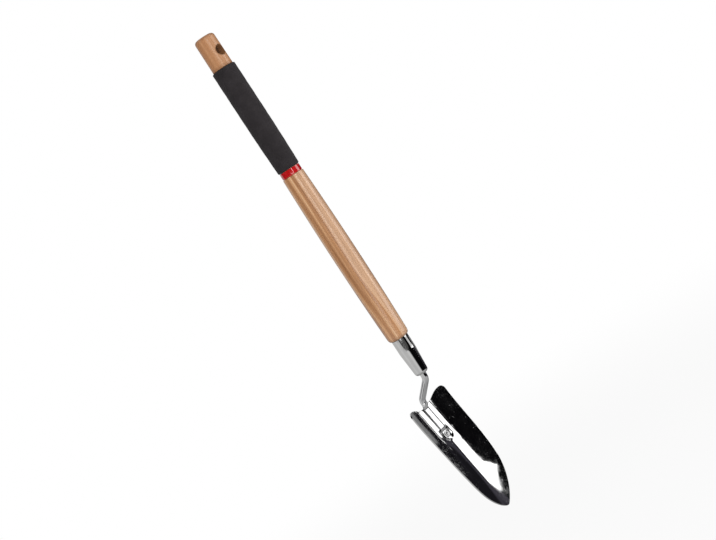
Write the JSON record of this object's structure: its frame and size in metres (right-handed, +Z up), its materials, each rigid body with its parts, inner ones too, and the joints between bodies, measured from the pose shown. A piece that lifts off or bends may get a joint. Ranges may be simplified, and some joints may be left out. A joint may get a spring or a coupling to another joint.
{
  "type": "transplanting trowel",
  "caption": "Long-handled garden trowel: turned wooden handle with a foam grip, steel ferrule, cranked neck rod and a narrow pressed blade riveted to it.",
  "frame": {"origin": "centre of the hang hole, on the handle's axis", "axes": "+Z up the handle towards the butt, -Y the way the blade's hollow faces, X across the blade; the tool hangs from its hole"},
  "size_m": [0.075, 0.0418, 0.6157],
  "materials": {
    "ash_wood": "clear-varnished ash, fine straight grain along the handle",
    "black_foam": "matt closed-cell foam sleeve",
    "red_plastic": "glossy moulded plastic",
    "polished_steel": "mirror-polished stainless steel, not plated"
  },
  "bodies": {
    "root": {"handle": "ash_wood", "foam_grip": "black_foam", "grip_ring": "red_plastic", "ferrule": "polished_steel", "neck_rod": "polished_steel", "blade": "polished_steel", "rivet": "polished_steel"}
  },
  "joints": []
}
